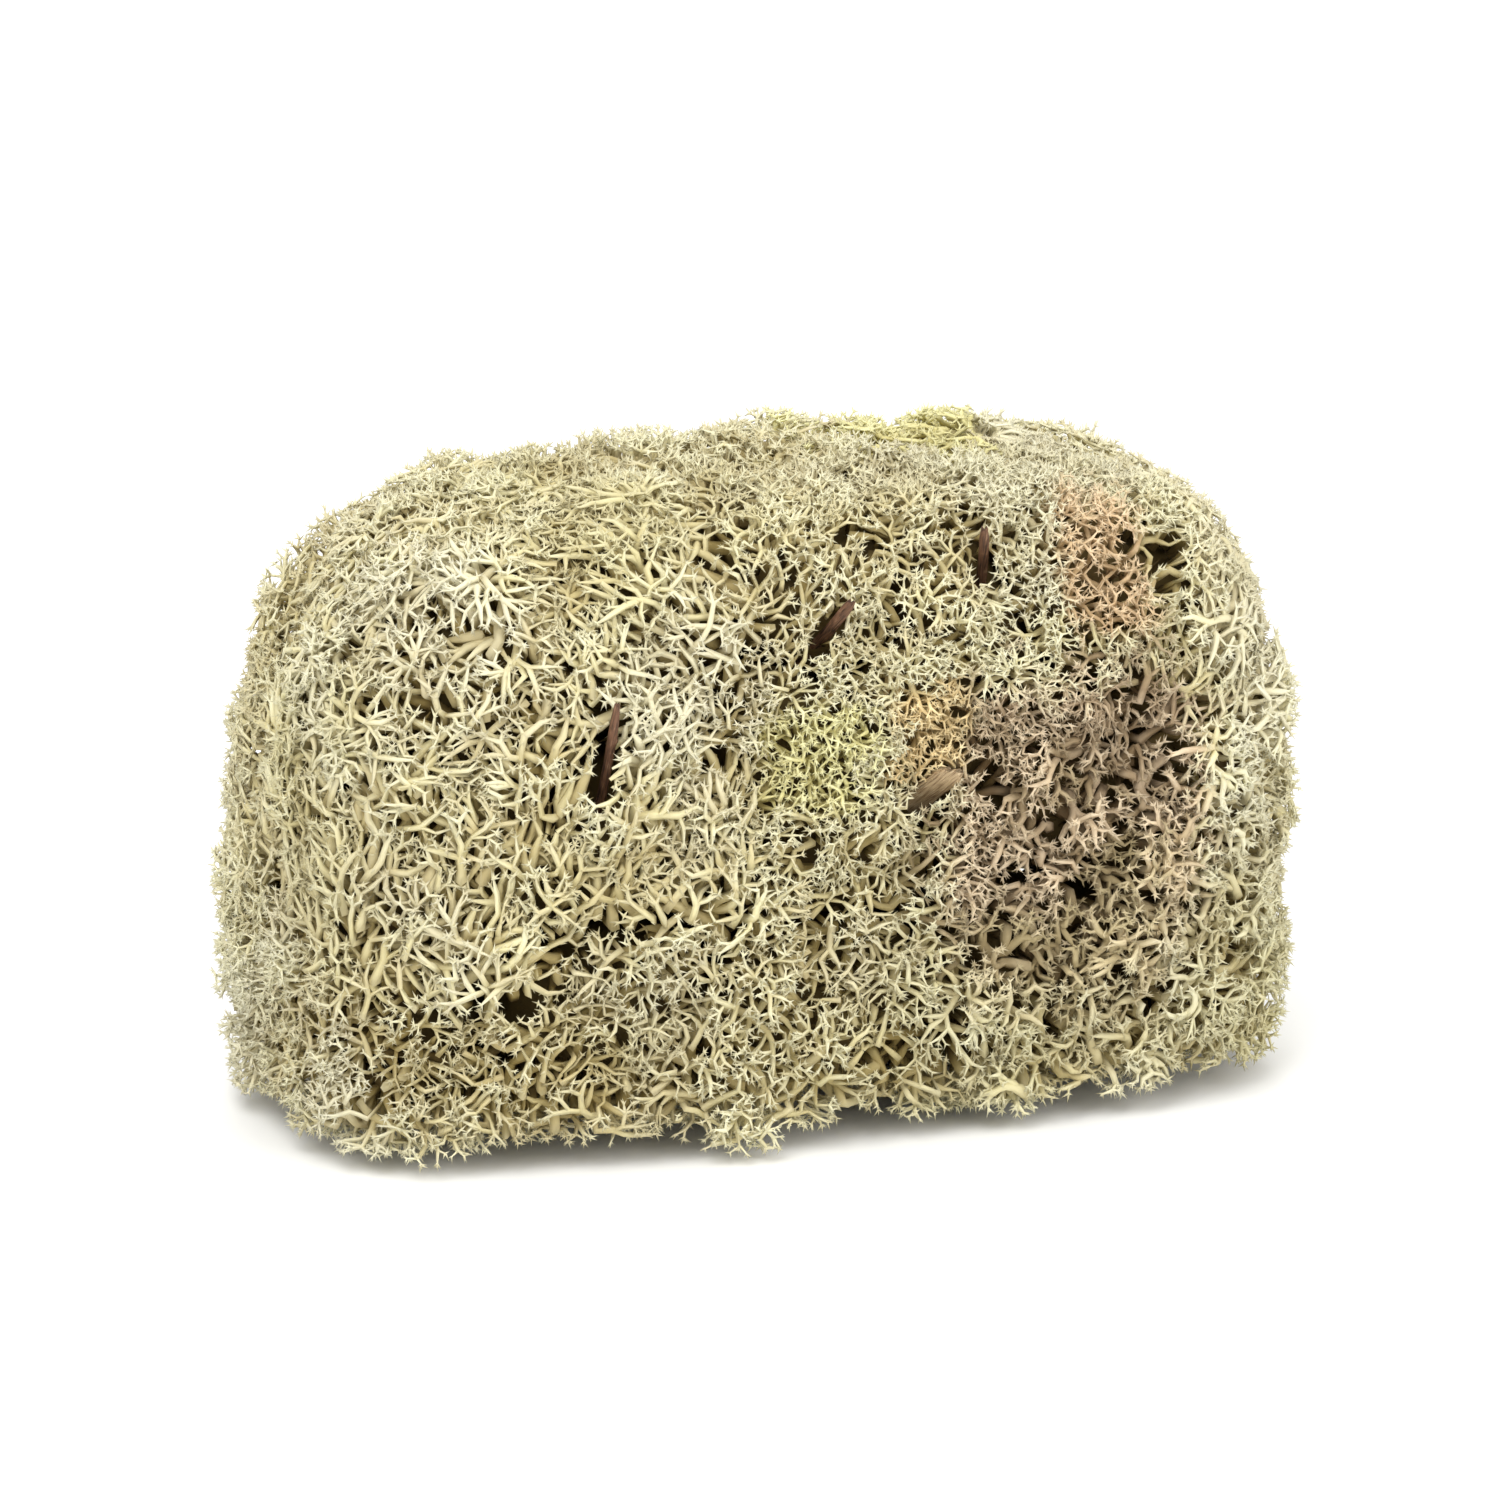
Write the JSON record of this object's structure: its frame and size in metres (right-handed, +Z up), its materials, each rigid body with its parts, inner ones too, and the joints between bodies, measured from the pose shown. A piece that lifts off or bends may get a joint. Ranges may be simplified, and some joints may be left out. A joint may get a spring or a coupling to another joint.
{
  "type": "reindeer moss clump",
  "caption": "Rounded block of preserved reindeer moss: pressed tufts of pale forked lichen with a few scraps of bark, resting on its flat underside.",
  "frame": {"origin": "on the flat underside of the central base tuft, below the middle of the clump", "axes": "+X along the clump's length, +Y through its depth to the back, +Z up; the front is at -Y"},
  "size_m": [0.1274, 0.0634, 0.0774],
  "materials": {
    "pale lichen": "matte",
    "yellow-green lichen": "matte",
    "golden lichen": "matte",
    "tan lichen": "matte",
    "dead lichen": "matte",
    "bark": "matte",
    "wood chip": "matte"
  },
  "bodies": {
    "root": {"tuft_base_middle": "dead lichen", "tuft_base_left": "pale lichen", "tuft_base_right": "pale lichen", "tuft_base_front": "pale lichen", "tuft_base_back": "pale lichen", "tuft_base_front_left": "pale lichen", "tuft_base_front_right": "dead lichen", "tuft_base_back_left": "dead lichen", "tuft_base_back_right": "pale lichen", "tuft_middle_front_1": "pale lichen", "tuft_middle_front_2": "pale lichen", "tuft_middle_front_3": "pale lichen", "tuft_middle_front_4": "dead lichen", "tuft_middle_front_5": "dead lichen", "tuft_top_front_1": "pale lichen", "tuft_top_front_2": "pale lichen", "tuft_top_front_3": "pale lichen", "tuft_top_front_4": "pale lichen", "tuft_top_front_5": "pale lichen", "tuft_middle_back_1": "pale lichen", "tuft_middle_back_2": "yellow-green lichen", "tuft_middle_back_3": "pale lichen", "tuft_middle_back_4": "pale lichen", "tuft_middle_back_5": "pale lichen", "tuft_top_back_1": "pale lichen", "tuft_top_back_2": "pale lichen", "tuft_top_back_3": "pale lichen", "tuft_top_back_4": "yellow-green lichen", "tuft_top_back_5": "pale lichen", "tuft_small_green": "yellow-green lichen", "tuft_small_golden": "golden lichen", "tuft_small_tan": "tan lichen", "twig": "bark", "bark_splinter_1": "bark", "bark_splinter_2": "bark", "wood_chip": "wood chip"}
  },
  "joints": []
}
